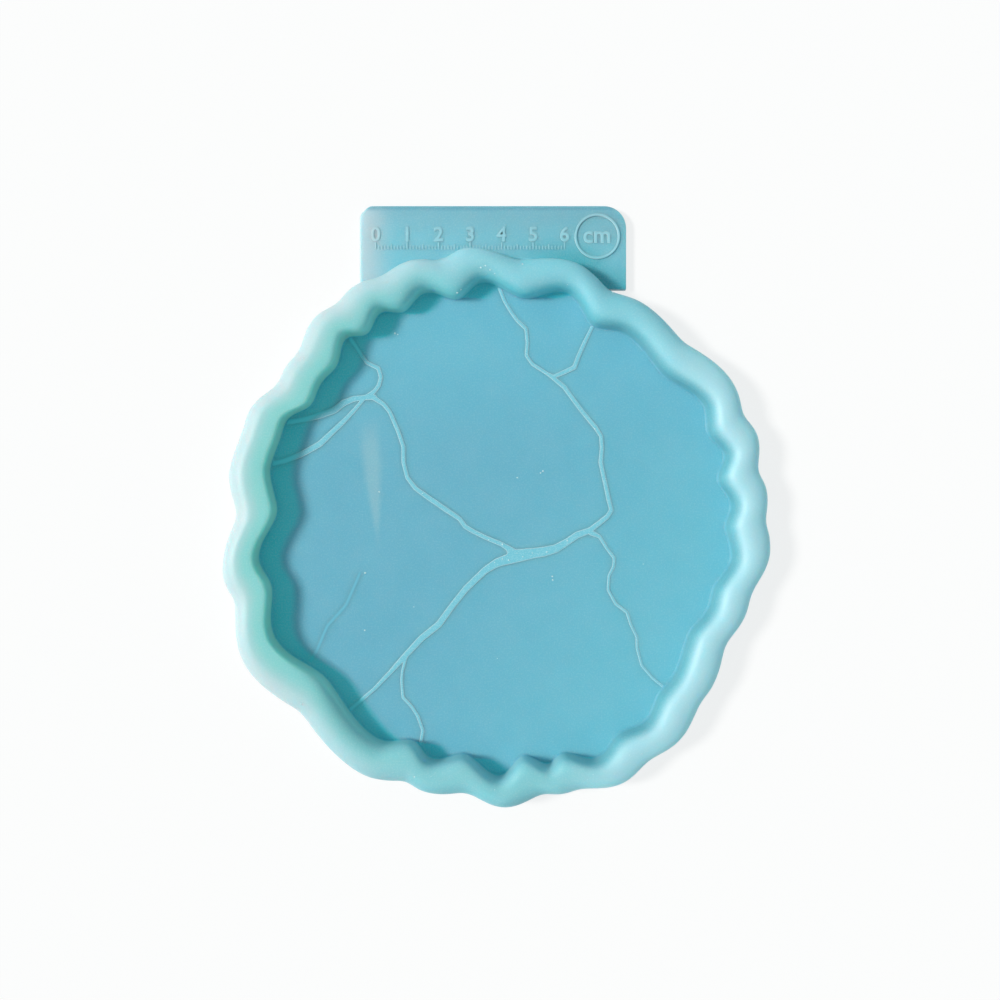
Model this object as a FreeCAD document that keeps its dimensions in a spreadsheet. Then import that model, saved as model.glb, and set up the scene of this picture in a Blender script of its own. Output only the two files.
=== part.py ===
import FreeCAD, Part
import Sketcher
import math
import os

# Resin casting mould: a shallow wavy-edged round tray, cast in silicone.
#
# Lengths are millimetres. The origin is under the middle of the casting space,
# on the flat underside. +Z points up, out of the open casting space, and +Y
# points to the label tab. The lobed outlines and the crack lines are written
# as shares of the casting space's radius or of the outer radius.

# Driving sizes: alias in the sheet, value, what it measures.
SIZES = [
    ("cavity_radius", 75.0, "mean radius of the casting space"),
    ("wall_thickness", 10.5, "mean thickness of the wall and its rolled rim"),
    ("base_thickness", 3.0, "thickness of the floor"),
    ("wall_height", 4.8, "straight part of the wall, from the floor to the rim"),
    ("rim_height", 5.2, "height of the rolled rim above the straight wall"),
    ("wall_draft", 0.2, "how far the inner wall leans in towards the floor"),
    ("foot_run", 0.3, "width of the sloped foot inside the wall"),
    ("foot_height", 0.4, "height of the sloped foot inside the wall"),
    ("tab_thickness", 3.0, "thickness of the label tab"),
    ("tab_left", 43.6, "from the middle to the tab's left side"),
    ("tab_right", 41.0, "from the middle to the tab's right side"),
    ("tab_reach", 17.3, "how far the tab stands out past the outer radius"),
    ("tab_corner_radius", 7.0, "round of the tab's right corner"),
    ("tab_corner_cut", 2.9, "slanted cut of the tab's left corner"),
    ("ring_radius", 7.2, "outer radius of the raised ring on the tab"),
    ("ring_band", 0.7, "width of the raised ring's band"),
    ("ring_height", 0.5, "height of the raised ring"),
    ("ring_side_inset", 9.2, "from the tab's right side to the ring's middle"),
    ("ring_end_inset", 9.7, "from the tab's end to the ring's middle"),
    ("ridge_height", 0.35, "height of the crack ridges on the floor"),
    ("ridge_slope_run", 0.25, "how far each flank of a ridge leans in"),
]

# Lobes of the rim, anticlockwise from +X: notch angle in degrees, notch share,
# crown angle in degrees, crown share. Shares are of the mean radius.
OUTER_LOBE_SHARES = [
    (2.0, 0.984, 8.0, 0.998),
    (13.0, 0.979, 20.0, 1.014),
    (25.0, 0.996, 32.0, 1.018),
    (45.5, 0.968, 57.0, 0.987),
    (64.5, 0.966, 74.5, 1.021),
    (85.5, 0.990, 96.5, 1.039),
    (101.5, 1.006, 108.5, 1.037),
    (114.5, 1.020, 120.0, 1.035),
    (125.5, 1.014, 130.0, 1.025),
    (138.0, 0.976, 142.0, 0.977),
    (146.5, 0.963, 154.5, 1.006),
    (158.5, 0.998, 167.0, 1.003),
    (176.5, 0.951, 190.0, 1.016),
    (195.5, 0.993, 207.5, 1.046),
    (223.0, 0.979, 241.0, 1.020),
    (250.0, 0.979, 255.0, 0.993),
    (263.5, 0.966, 272.0, 1.015),
    (279.5, 0.979, 285.5, 0.996),
    (288.0, 0.994, 296.5, 1.034),
    (303.5, 1.008, 310.0, 1.020),
    (319.5, 0.977, 322.0, 0.976),
    (333.5, 0.935, 342.0, 0.962),
    (346.0, 0.959, 355.5, 1.003),
]

INNER_LOBE_SHARES = [
    (1.0, 0.966, 6.0, 0.997),
    (13.0, 0.957, 18.3, 1.014),
    (24.5, 0.983, 31.0, 1.022),
    (43.2, 0.962, 56.5, 0.993),
    (64.5, 0.954, 73.5, 1.044),
    (83.5, 0.984, 93.4, 1.048),
    (99.5, 0.986, 107.0, 1.046),
    (113.3, 0.999, 118.0, 1.041),
    (123.7, 0.990, 128.0, 1.030),
    (134.8, 0.966, 139.5, 0.968),
    (146.0, 0.945, 152.7, 1.002),
    (158.0, 0.993, 163.5, 0.995),
    (175.3, 0.932, 187.3, 1.014),
    (193.8, 0.981, 205.5, 1.043),
    (221.0, 0.956, 240.5, 1.016),
    (248.5, 0.957, 254.0, 1.005),
    (261.9, 0.957, 270.7, 1.040),
    (276.5, 0.959, 283.0, 1.016),
    (285.8, 0.981, 293.9, 1.052),
    (301.0, 1.004, 307.5, 1.025),
    (315.5, 0.974, 318.5, 0.972),
    (332.0, 0.924, 340.0, 0.955),
    (344.3, 0.949, 353.2, 1.000),
]

# How round a notch is, from 0, a sharp V, to 1, as round as a crown.
OUTER_NOTCH_ROUND_SHARE = 0.35
INNER_NOTCH_ROUND_SHARE = 0.85

# How round the rim's inner side is, from 0, a square corner, to 1, a half round.
RIM_INNER_ROUND_SHARE = 0.4

# Points on each closed outline, the curves it is cut into, and the sections
# over the rim.
OUTLINE_STEPS = 144
OUTLINE_CURVES = 24
RIM_SECTIONS = 9

FULL_TURN = 360.0

# Crack ridges on the floor: x, y and width at each bend, as shares of the
# casting space's radius. A branch starts or ends inside the ridge it leaves.
RIDGE_SHARES = {
    "ridge_centre": [
        (0.405, 0.000, 0.026), (0.340, -0.022, 0.029), (0.300, -0.050, 0.030),
        (0.250, -0.080, 0.036), (0.200, -0.093, 0.042), (0.150, -0.100, 0.045),
        (0.100, -0.108, 0.054), (0.045, -0.118, 0.060),
    ],
    "ridge_trunk": [
        (0.220, 0.657, 0.018), (0.285, 0.603, 0.020), (0.358, 0.503, 0.019),
        (0.415, 0.435, 0.020), (0.441, 0.395, 0.018), (0.444, 0.345, 0.018),
        (0.438, 0.285, 0.019), (0.458, 0.195, 0.019), (0.473, 0.125, 0.020),
        (0.484, 0.082, 0.020), (0.465, 0.053, 0.021), (0.390, -0.005, 0.024),
    ],
    "ridge_north": [
        (-0.005, 1.060, 0.014), (0.030, 0.970, 0.015), (0.060, 0.920, 0.015),
        (0.087, 0.883, 0.015), (0.123, 0.850, 0.016), (0.129, 0.790, 0.016),
        (0.124, 0.738, 0.015), (0.150, 0.700, 0.015), (0.240, 0.642, 0.015),
    ],
    "ridge_north_east": [
        (0.416, 0.950, 0.014), (0.408, 0.868, 0.014), (0.372, 0.795, 0.018),
        (0.345, 0.735, 0.019), (0.328, 0.687, 0.020), (0.285, 0.667, 0.020),
        (0.235, 0.645, 0.016),
    ],
    "ridge_south_east": [
        (0.395, -0.012, 0.024), (0.435, -0.030, 0.016), (0.465, -0.080, 0.014),
        (0.496, -0.120, 0.014), (0.494, -0.155, 0.014), (0.474, -0.195, 0.013),
        (0.470, -0.255, 0.013), (0.503, -0.315, 0.013), (0.550, -0.350, 0.013),
        (0.565, -0.400, 0.012), (0.592, -0.455, 0.012), (0.592, -0.500, 0.012),
        (0.612, -0.575, 0.011), (0.660, -0.630, 0.011), (0.760, -0.712, 0.011),
    ],
    "ridge_south_west": [
        (0.070, -0.118, 0.048), (0.000, -0.140, 0.037), (-0.050, -0.172, 0.030),
        (-0.130, -0.248, 0.028), (-0.195, -0.330, 0.027), (-0.245, -0.400, 0.029),
        (-0.320, -0.460, 0.028), (-0.385, -0.530, 0.025), (-0.450, -0.602, 0.020),
        (-0.520, -0.675, 0.016), (-0.590, -0.735, 0.014), (-0.670, -0.805, 0.014),
    ],
    "ridge_south": [
        (-0.385, -0.540, 0.014), (-0.401, -0.600, 0.013), (-0.404, -0.640, 0.013),
        (-0.398, -0.710, 0.014), (-0.360, -0.750, 0.015), (-0.335, -0.790, 0.015),
        (-0.314, -0.850, 0.015), (-0.325, -0.910, 0.014), (-0.345, -0.980, 0.013),
    ],
    "ridge_fork": [
        (-0.510, 0.560, 0.022), (-0.560, 0.559, 0.021), (-0.605, 0.554, 0.021),
        (-0.650, 0.536, 0.022), (-0.690, 0.505, 0.022), (-0.760, 0.480, 0.020),
        (-0.820, 0.465, 0.016), (-0.940, 0.446, 0.014),
    ],
    "ridge_west": [
        (0.070, -0.093, 0.028), (0.020, -0.062, 0.020), (-0.050, -0.033, 0.019),
        (-0.100, -0.008, 0.020), (-0.135, 0.013, 0.020), (-0.157, 0.045, 0.020),
        (-0.220, 0.087, 0.022), (-0.290, 0.135, 0.022), (-0.345, 0.175, 0.020),
        (-0.380, 0.220, 0.018), (-0.396, 0.285, 0.018), (-0.396, 0.350, 0.018),
        (-0.420, 0.420, 0.018), (-0.455, 0.500, 0.018), (-0.480, 0.531, 0.019),
        (-0.525, 0.560, 0.022),
    ],
    "ridge_north_west": [
        (-0.552, 0.562, 0.020), (-0.520, 0.584, 0.018), (-0.500, 0.610, 0.018),
        (-0.491, 0.645, 0.018), (-0.502, 0.683, 0.018), (-0.550, 0.706, 0.016),
        (-0.578, 0.745, 0.014), (-0.655, 0.860, 0.014),
    ],
    "ridge_lower_fork": [
        (-0.562, 0.556, 0.014), (-0.600, 0.510, 0.014), (-0.640, 0.467, 0.014),
        (-0.700, 0.410, 0.016), (-0.750, 0.362, 0.019), (-0.830, 0.318, 0.018),
        (-0.900, 0.290, 0.016), (-1.010, 0.268, 0.014),
    ],
}

# What each ridge is trimmed against, beside the wall that many of them reach.
RIDGE_MEETS = {
    "ridge_centre": [],
    "ridge_trunk": ["ridge_centre"],
    "ridge_north": ["ridge_trunk"],
    "ridge_north_east": ["ridge_trunk", "ridge_north"],
    "ridge_south_east": ["ridge_centre", "ridge_trunk"],
    "ridge_south_west": ["ridge_centre"],
    "ridge_south": ["ridge_south_west"],
    "ridge_fork": [],
    "ridge_west": ["ridge_centre", "ridge_south_west", "ridge_fork"],
    "ridge_north_west": ["ridge_fork", "ridge_west"],
    "ridge_lower_fork": ["ridge_fork"],
}

RIDGES_AT_THE_WALL = [
    "ridge_north", "ridge_north_east", "ridge_south_east", "ridge_south_west",
    "ridge_south", "ridge_fork", "ridge_north_west", "ridge_lower_fork",
]


def make_sheet(doc):
    """Put the driving sizes in the document's sheet, one named row each."""
    sheet = doc.addObject("Spreadsheet::Sheet", "Sizes")
    for row, (alias, value, meaning) in enumerate(SIZES, start=1):
        sheet.set(f"A{row}", alias)
        sheet.set(f"B{row}", str(value))
        sheet.set(f"C{row}", meaning)
        sheet.setAlias(f"B{row}", alias)
    doc.recompute()
    return sheet


def lobe_rise(travel, notch_round):
    """Rise from a notch, at 0, to the crown beside it, at 1."""
    sharp = math.sin(math.pi / 2 * travel)
    smooth = (1 - math.cos(math.pi * travel)) / 2
    return sharp + (smooth - sharp) * notch_round


def radius_share(lobes, notch_round, angle):
    """Radius of a lobed outline at an angle, as a share of its mean radius."""
    first_notch = lobes[0][0]
    turned = angle if angle >= first_notch else angle + FULL_TURN
    ends = [(row[0], row[1]) for row in lobes[1:]]
    ends.append((first_notch + FULL_TURN, lobes[0][1]))
    for (notch_at, notch, crown_at, crown), (next_at, next_notch) in zip(lobes, ends):
        if turned <= crown_at:
            travel = (turned - notch_at) / (crown_at - notch_at)
            return notch + (crown - notch) * lobe_rise(travel, notch_round)
        if turned <= next_at:
            travel = (next_at - turned) / (next_at - crown_at)
            return next_notch + (crown - next_notch) * lobe_rise(travel, notch_round)
    raise ValueError("angle outside one turn")


def outer_radius(sheet, angle):
    """Radius of the wall's outer side at an angle."""
    mean = sheet.cavity_radius + sheet.wall_thickness
    return mean * radius_share(OUTER_LOBE_SHARES, OUTER_NOTCH_ROUND_SHARE, angle)


def inner_radius(sheet, angle):
    """Radius of the wall's inner side, just under the rim, at an angle."""
    return sheet.cavity_radius * radius_share(
        INNER_LOBE_SHARES, INNER_NOTCH_ROUND_SHARE, angle)


def closed_outline(radius_at, height):
    """Smooth closed line through equal steps of angle, as curves end to end."""
    points = []
    for step in range(OUTLINE_STEPS):
        angle = FULL_TURN * step / OUTLINE_STEPS
        radius = radius_at(angle)
        turn = math.radians(angle)
        points.append(FreeCAD.Vector(
            radius * math.cos(turn), radius * math.sin(turn), height))
    curve = Part.BSplineCurve()
    parameters = [step / OUTLINE_STEPS for step in range(OUTLINE_STEPS + 1)]
    curve.interpolate(Points=points, PeriodicFlag=True, Parameters=parameters)
    curves = []
    for part in range(OUTLINE_CURVES):
        stretch = curve.copy()
        stretch.segment(part / OUTLINE_CURVES, (part + 1) / OUTLINE_CURVES)
        curves.append(stretch)
    return curves


def new_body(doc, name):
    """Empty body whose label is its sub-part's name."""
    body = doc.addObject("PartDesign::Body", name)
    body.Label = name
    return body


def flat_sketch(body, name, height):
    """Sketch that lies flat in a body, at a height given by an expression."""
    sketch = body.newObject("Sketcher::SketchObject", name)
    for plane in body.Origin.OriginFeatures:
        if plane.Role == "XY_Plane":
            sketch.AttachmentSupport = [(plane, "")]
    sketch.MapMode = "FlatFace"
    sketch.setExpression("AttachmentOffset.Base.z", height)
    return sketch


def pad(body, sketch, length):
    """Raise a body's sketch by a length given by an expression."""
    feature = body.newObject("PartDesign::Pad", sketch.Name + "_pad")
    feature.Profile = sketch
    feature.setExpression("Length", length)


def straight_loft(body, kind, name, sections):
    """Add or take away the straight-sided form between a body's sketches."""
    feature = body.newObject(kind, name)
    feature.Profile = sections[0]
    feature.Sections = sections[1:]
    feature.Ruled = True


def outline_sketch(body, name, height, radius_at):
    """Flat sketch of one closed lobed outline."""
    sketch = flat_sketch(body, name, height)
    add_closed_run(sketch, closed_outline(radius_at, 0))
    return sketch


def add_closed_run(sketch, curves):
    """Curves or lines joined end to end, the last to the first."""
    for index, curve in enumerate(curves):
        sketch.addGeometry(curve, False)
        if index:
            sketch.addConstraint(
                Sketcher.Constraint("Coincident", index - 1, 2, index, 1))
    sketch.addConstraint(Sketcher.Constraint("Coincident", len(curves) - 1, 2, 0, 1))


def polygon(corners):
    """Straight lines from each corner to the next, and back to the first."""
    following = corners[1:] + corners[:1]
    return [Part.LineSegment(start, end) for start, end in zip(corners, following)]


def make_base_slab(doc, sheet):
    """Flat floor with the full outer outline, under the wall as well."""
    body = new_body(doc, "base_slab")
    underside = outline_sketch(
        body, "base_underside", "0", lambda angle: outer_radius(sheet, angle))
    top = outline_sketch(
        body, "base_top", "Sizes.base_thickness", lambda angle: outer_radius(sheet, angle))
    straight_loft(body, "PartDesign::AdditiveLoft", "base_loft", [underside, top])
    return body


def make_side_wall(doc, sheet):
    """Straight wall on the floor, with a slight draft and a sloped foot inside."""
    floor = "Sizes.base_thickness"
    foot_top = "Sizes.base_thickness + Sizes.foot_height"
    spring = "Sizes.base_thickness + Sizes.wall_height"
    body = new_body(doc, "side_wall")
    outside = [
        outline_sketch(body, name, height, lambda angle: outer_radius(sheet, angle))
        for name, height in (("wall_outside_foot", floor), ("wall_outside_top", spring))
    ]
    straight_loft(body, "PartDesign::AdditiveLoft", "wall_block", outside)

    def leaning(lean):
        return lambda angle: inner_radius(sheet, angle) - lean

    inside = [
        outline_sketch(
            body, "wall_inside_foot", floor, leaning(sheet.wall_draft + sheet.foot_run)),
        outline_sketch(body, "wall_inside_slope", foot_top, leaning(sheet.wall_draft)),
        outline_sketch(body, "wall_inside_top", spring, leaning(0)),
    ]
    straight_loft(body, "PartDesign::SubtractiveLoft", "casting_space", inside)
    return body


def rim_section(step):
    """Shares of the way out and of the way up, round from the outer side to the inner."""
    if step == RIM_SECTIONS - 1:
        return 0, 0
    turn = math.pi * step / (RIM_SECTIONS - 1)
    outwards = math.cos(turn)
    upwards = math.sin(turn)
    if outwards < 0:
        outwards = -abs(outwards) ** RIM_INNER_ROUND_SHARE
        upwards = upwards ** RIM_INNER_ROUND_SHARE
    return (1 + outwards) / 2, upwards


def make_rim_roll(doc, sheet):
    """Domed rim over the wall's top: round outside, with a close corner inside."""
    spring = sheet.base_thickness + sheet.wall_height
    sections = []
    for step in range(RIM_SECTIONS):
        across, upwards = rim_section(step)
        height = spring + sheet.rim_height * upwards

        def radius_at(angle):
            outer = outer_radius(sheet, angle)
            inner = inner_radius(sheet, angle)
            return inner + (outer - inner) * across

        curves = closed_outline(radius_at, height)
        sections.append(Part.Wire([curve.toShape() for curve in curves]))
    crown = Part.makeLoft(sections, False, True)
    seat = Part.Face([sections[0], sections[-1]], "Part::FaceMakerBullseye")
    shell = Part.Shell(crown.Faces + seat.Faces)
    shell.sewShape()
    solid = Part.Solid(shell)
    if solid.Volume < 0:
        solid.reverse()
    rim = doc.addObject("Part::Feature", "rim_roll")
    rim.Label = "rim_roll"
    rim.Shape = solid
    rim.Placement = FreeCAD.Placement()
    return rim


def trimmed(doc, shape, tool, name):
    """One piece with another's space taken out of it."""
    result = doc.addObject("Part::Cut", name)
    result.Base = shape
    result.Tool = tool
    return result


def make_label_tab(doc, sheet, base_slab):
    """Flat tab behind the wall, trimmed to the floor's wavy edge."""
    left = -sheet.tab_left
    right = sheet.tab_right
    far = sheet.cavity_radius + sheet.wall_thickness + sheet.tab_reach
    near = sheet.cavity_radius - sheet.wall_thickness
    cut = sheet.tab_corner_cut
    round_radius = sheet.tab_corner_radius
    middle = FreeCAD.Vector(right - round_radius, far - round_radius, 0)

    corners = [
        FreeCAD.Vector(right - round_radius, far, 0),
        FreeCAD.Vector(left + cut, far, 0),
        FreeCAD.Vector(left, far - cut, 0),
        FreeCAD.Vector(left, near, 0),
        FreeCAD.Vector(right, near, 0),
        FreeCAD.Vector(right, far - round_radius, 0),
    ]
    run = [Part.LineSegment(start, end) for start, end in zip(corners, corners[1:])]
    run.append(Part.ArcOfCircle(
        Part.Circle(middle, FreeCAD.Vector(0, 0, 1), round_radius), 0, math.pi / 2))
    body = new_body(doc, "tab_blank")
    sketch = flat_sketch(body, "tab_outline", "0")
    add_closed_run(sketch, run)
    pad(body, sketch, "Sizes.tab_thickness")

    tab = trimmed(doc, body, base_slab, "label_tab")
    tab.Label = "label_tab"
    return tab


def make_tab_ring(doc, sheet):
    """Low raised ring near the tab's right corner."""
    across = sheet.tab_right - sheet.ring_side_inset
    far = sheet.cavity_radius + sheet.wall_thickness + sheet.tab_reach
    centre = FreeCAD.Vector(across, far - sheet.ring_end_inset, 0)
    axis = FreeCAD.Vector(0, 0, 1)
    body = new_body(doc, "tab_ring")
    sketch = flat_sketch(body, "ring_band", "Sizes.tab_thickness")
    sketch.addGeometry(Part.Circle(centre, axis, sheet.ring_radius), False)
    sketch.addGeometry(
        Part.Circle(centre, axis, sheet.ring_radius - sheet.ring_band), False)
    sketch.addConstraint(Sketcher.Constraint("Coincident", 0, 3, 1, 3))
    pad(body, sketch, "Sizes.ring_height")
    return body


def ridge_corners(sheet, bends, lean):
    """Corners of a ridge's outline, drawn in by a lean on every side."""
    places = [FreeCAD.Vector(x, y, 0) * sheet.cavity_radius for x, y, width in bends]
    halves = [sheet.cavity_radius * width / 2 - lean for x, y, width in bends]
    runs = [(b - a).normalize() for a, b in zip(places, places[1:])]
    places[0] = places[0] + runs[0] * lean
    places[-1] = places[-1] - runs[-1] * lean
    left_side = []
    right_side = []
    for index, (place, half) in enumerate(zip(places, halves)):
        before = runs[max(index - 1, 0)]
        after = runs[min(index, len(runs) - 1)]
        along = (before + after).normalize()
        across = FreeCAD.Vector(-along.y, along.x, 0)
        reach = half / along.dot(after)
        left_side.append(place + across * reach)
        right_side.append(place - across * reach)
    return right_side + left_side[::-1]


def make_ridge(doc, sheet, name):
    """Crack ridge on the floor, with leaning flanks and a flat top."""
    bends = RIDGE_SHARES[name]
    body = new_body(doc, name + "_blank")
    foot = flat_sketch(body, name + "_foot", "Sizes.base_thickness")
    add_closed_run(foot, polygon(ridge_corners(sheet, bends, 0)))
    top = flat_sketch(body, name + "_top", "Sizes.base_thickness + Sizes.ridge_height")
    add_closed_run(top, polygon(ridge_corners(sheet, bends, sheet.ridge_slope_run)))
    straight_loft(body, "PartDesign::AdditiveLoft", name + "_loft", [foot, top])
    return body


def make_ridges(doc, sheet, side_wall):
    """All crack ridges, each trimmed where it meets the wall or another ridge."""
    ridges = {}
    for name, neighbours in RIDGE_MEETS.items():
        tools = [ridges[other] for other in neighbours]
        if name in RIDGES_AT_THE_WALL:
            tools.append(side_wall)
        ridge = make_ridge(doc, sheet, name)
        for step, tool in enumerate(tools, start=1):
            ridge = trimmed(doc, ridge, tool, f"{name}_trim_{step}")
        ridge.Label = name
        ridges[name] = ridge
    return list(ridges.values())


def check(doc, pieces):
    """Stop if anything failed to rebuild or a piece has no sound solid."""
    for thing in doc.Objects:
        if "Invalid" in thing.State or "Error" in thing.State:
            raise RuntimeError(f"{thing.Name} failed to rebuild")
    for piece in pieces:
        shape = piece.Shape
        if shape.isNull() or not shape.isValid() or not shape.Solids:
            raise RuntimeError(f"{piece.Label} has no sound solid")


def export(pieces):
    """Write each piece to a file named after it."""
    os.makedirs("parts", exist_ok=True)
    for piece in pieces:
        piece.Shape.exportStep(f"parts/{piece.Label}.step")
        box = piece.Shape.BoundBox
        print(f"{piece.Label}: {len(piece.Shape.Solids)} solid, "
              f"{piece.Shape.Volume:.1f} mm3, z {box.ZMin:.2f} to {box.ZMax:.2f}")


def main():
    doc = FreeCAD.newDocument("casting_mould")
    sheet = make_sheet(doc)
    base_slab = make_base_slab(doc, sheet)
    side_wall = make_side_wall(doc, sheet)
    rim_roll = make_rim_roll(doc, sheet)
    label_tab = make_label_tab(doc, sheet, base_slab)
    tab_ring = make_tab_ring(doc, sheet)
    ridges = make_ridges(doc, sheet, side_wall)
    doc.recompute()
    pieces = [base_slab, side_wall, rim_roll, label_tab, tab_ring] + ridges
    check(doc, pieces)
    export(pieces)


main()
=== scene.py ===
import math
from functools import cache

import bmesh
import bpy
import numpy as np
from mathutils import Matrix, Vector


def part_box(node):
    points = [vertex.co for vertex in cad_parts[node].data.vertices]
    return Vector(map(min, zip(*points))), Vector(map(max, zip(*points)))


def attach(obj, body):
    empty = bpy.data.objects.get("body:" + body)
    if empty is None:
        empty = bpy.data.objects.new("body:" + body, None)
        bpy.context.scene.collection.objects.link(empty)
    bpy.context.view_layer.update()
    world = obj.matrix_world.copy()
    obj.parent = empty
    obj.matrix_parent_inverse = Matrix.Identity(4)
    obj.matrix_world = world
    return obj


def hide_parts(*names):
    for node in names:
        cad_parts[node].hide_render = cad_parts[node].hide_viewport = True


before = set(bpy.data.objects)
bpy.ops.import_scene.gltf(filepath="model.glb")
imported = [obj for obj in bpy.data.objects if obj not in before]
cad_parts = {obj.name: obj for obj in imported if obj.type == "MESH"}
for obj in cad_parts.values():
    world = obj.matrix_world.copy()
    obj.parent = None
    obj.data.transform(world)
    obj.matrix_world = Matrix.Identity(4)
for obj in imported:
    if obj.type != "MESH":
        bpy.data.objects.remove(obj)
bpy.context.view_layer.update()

# Resin casting mould: a shallow wavy-edged round tray in translucent aqua silicone.
#
# Lengths are metres, in the frame of the construction model: +Z up, +Y to the
# label tab, the origin under the middle of the casting space.

bl_info = {
    "name": "Resin casting mould",
    "version": (1, 0, 0),
    "blender": (4, 5, 0),
    "location": "3D View > Sidebar > Casting Mould",
    "description": "Models a silicone casting mould around its construction model",
    "category": "Object",
}

MM = 0.001
BODY = "root"
UP = Vector((0, 0, 1))
WHITE = (1, 1, 1)
SILICONE_IOR = 1.41

# Places that lie closer together than this count as one.
HAIR = 0.01 * MM

# Faces that meet at less than this angle shade as one surface.
SMOOTH_ANGLE = math.radians(40)

# Places in the frame that the pieces and their finishes are set out from.
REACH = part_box("side_wall")[1].x
FLOOR_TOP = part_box("base_slab")[1].z
RIM_FOOT, RIM_TOP = (corner.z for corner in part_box("rim_roll"))
TAB_LOW, TAB_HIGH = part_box("label_tab")
RING_LOW, RING_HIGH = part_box("tab_ring")

# Where the floor's and the underside's flat rings lie, as shares of their edge.
FLOOR_RING_SHARES = (
    0.12, 0.35, 0.6, 0.75, 0.82, 0.86, 0.89, 0.91, 0.93, 0.945, 0.96, 0.975, 0.99)
UNDERSIDE_RING_SHARES = (0.92, 0.6, 0.3, 0.1)

# Tiny bubbles cast into the floor: x and y as shares of the mean floor radius,
# and size as a share of the largest bubble.
FLOOR_BUBBLE_SHARES = (
    (-0.436, 0.838, 1.0), (-0.424, 0.834, 0.7), (0.086, 0.222, 0.8),
    (0.186, 0.242, 0.8), (0.196, 0.250, 1.0), (0.236, -0.200, 0.9),
    (0.238, -0.215, 0.9), (0.001, -0.550, 0.5), (-0.503, 0.162, 0.9),
    (-0.563, -0.185, 1.0), (0.624, -0.147, 0.5), (-0.565, -0.430, 0.9),
    (-0.355, -0.330, 0.6), (0.815, -0.527, 0.6),
)

# Grit that the crack lines were cast with, placed in the same way.
RIDGE_GRIT_SHARES = (
    (0.023, -0.063, 1.0), (-0.035, -0.043, 0.8), (0.213, -0.095, 0.9),
    (0.050, -0.130, 1.0), (0.023, -0.125, 0.8), (0.110, -0.115, 0.7),
    (-0.318, 0.155, 0.8), (0.418, 0.430, 1.0), (0.300, -0.047, 1.0),
    (0.150, -0.100, 0.7), (0.085, -0.100, 0.6), (-0.010, -0.140, 0.7),
)

# Bends of the shallow crack line at the lower left, as shares of the wall's reach.
FAINT_LINE_SHARES = (
    (-0.508, -0.158), (-0.560, -0.280), (-0.631, -0.358), (-0.668, -0.447),
    (-0.694, -0.491),
)

# Bubbles on the rim: angle in degrees from +X, how far across the rim from its
# inner edge, and size as a share of the largest bubble.
RIM_BUBBLE_SHARES = (
    (93.5, 0.30, 1.0), (92.6, 0.36, 0.8), (91.5, 0.26, 0.9), (90.4, 0.20, 0.7),
    (99.6, 0.06, 1.0), (98.4, 0.08, 0.7), (84.5, 0.80, 0.9), (106.0, 0.55, 0.5),
    (112.0, 0.30, 0.6), (138.5, 0.70, 0.6), (143.2, 0.22, 0.8), (127.5, 0.40, 0.5),
    (74.0, 0.12, 0.5), (64.2, 0.95, 0.8), (34.0, 0.30, 0.4), (218.9, 0.45, 0.8),
    (221.6, 0.72, 0.9), (244.0, 0.50, 0.5), (251.5, 0.62, 0.9), (254.8, 0.35, 0.5),
    (266.2, 0.40, 0.6), (269.4, 0.28, 0.5), (288.2, 0.45, 0.6), (290.0, 0.55, 0.7),
    (291.4, 0.35, 0.5), (300.5, 0.42, 0.7), (303.0, 0.60, 0.6), (331.5, 0.65, 0.4),
)

# Where the rim's inner side turns rounder off the left, where it turns closer again
# at the front, and from where and how much the first turn leans forwards, as shares
# of the radius.
ROUND_TURN_SHARES = (-0.85, -0.25)
FRONT_TURN_SHARES = (-0.88, -0.96)
LEAN_START_SHARE = -0.45
LEAN_SHARE = 1.2

# Where the silicone's colours turn: start and end along X or Y, as shares of the
# wall's reach, and how far a turn along X leans with Y.
# Painted light: the floor turns lighter from here towards the right and the front.
FLOOR_RIGHT_SHARES = (-0.3, 1.1)
FLOOR_RIGHT_LEAN_SHARE = 0.55
FLOOR_BACK_SHARES = (0.2, 0.75)
# The wall's darker copy, for where the key light falls straight on it, starts here.
WALL_RIGHT_SHARES = (0.15, 0.5)
RIM_BACK_SHARES = (-0.7, 0.1)
# Painted sheen: the rim turns paler from here towards the right.
RIM_RIGHT_SHARES = (0.3, 0.7)
RIM_RIGHT_LEAN_SHARE = 0.2
# Painted glow and sheen at the left give way to the plain rim across these shares.
RIM_LEFT_SHARES = (-0.85, 0)
RIM_LEFT_LEAN_SHARE = 0.15
TAB_START_SHARES = (0.7, 0.75)
# Painted shade on the tab by the rim.
TAB_SHADE_SHARES = (0, 0.3)

# The same across the rim, from 0 at its inner edge to 1 at its outer edge.
CREST_SHARES = (0, 0.25)
FLANK_SHARES = (0.5, 0.95)
# Painted glow: the wall's colour at the left turns into the rim's here.
LEFT_WALL_SHARES = (-0.02, 0.12)
# Painted sheen on the rim's outer part at the left.
LEFT_SHEEN_SHARES = (0.18, 0.8)
OUTSIDE_SHARES = (0.4, 0.6)

# The same up the floor's thickness, by the speckle's strength, and by steepness.
UPPER_SHARES = (0.3, 0.6)
SPECKLE_SHARES = (0.45, 0.7)
# Painted glints on steep edges: of the crack lines, then of the marks.
LINE_GLINT_SHARES = (0.02, 0.2)
MARK_GLINT_SHARES = (0.05, 0.4)


def length(name, meaning, metres):
    """A size that the sidebar shows as a length."""
    return bpy.props.FloatProperty(
        name=name, description=meaning, default=metres, unit="LENGTH", precision=5)


def number(name, meaning, value):
    """A plain number, such as a strength or a share."""
    return bpy.props.FloatProperty(name=name, description=meaning, default=value)


def count(name, meaning, value):
    """How many of something."""
    return bpy.props.IntProperty(name=name, description=meaning, default=value, min=1)


def turn(name, meaning, degrees):
    """An angle."""
    return bpy.props.FloatProperty(
        name=name, description=meaning, default=math.radians(degrees), subtype="ANGLE")


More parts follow.
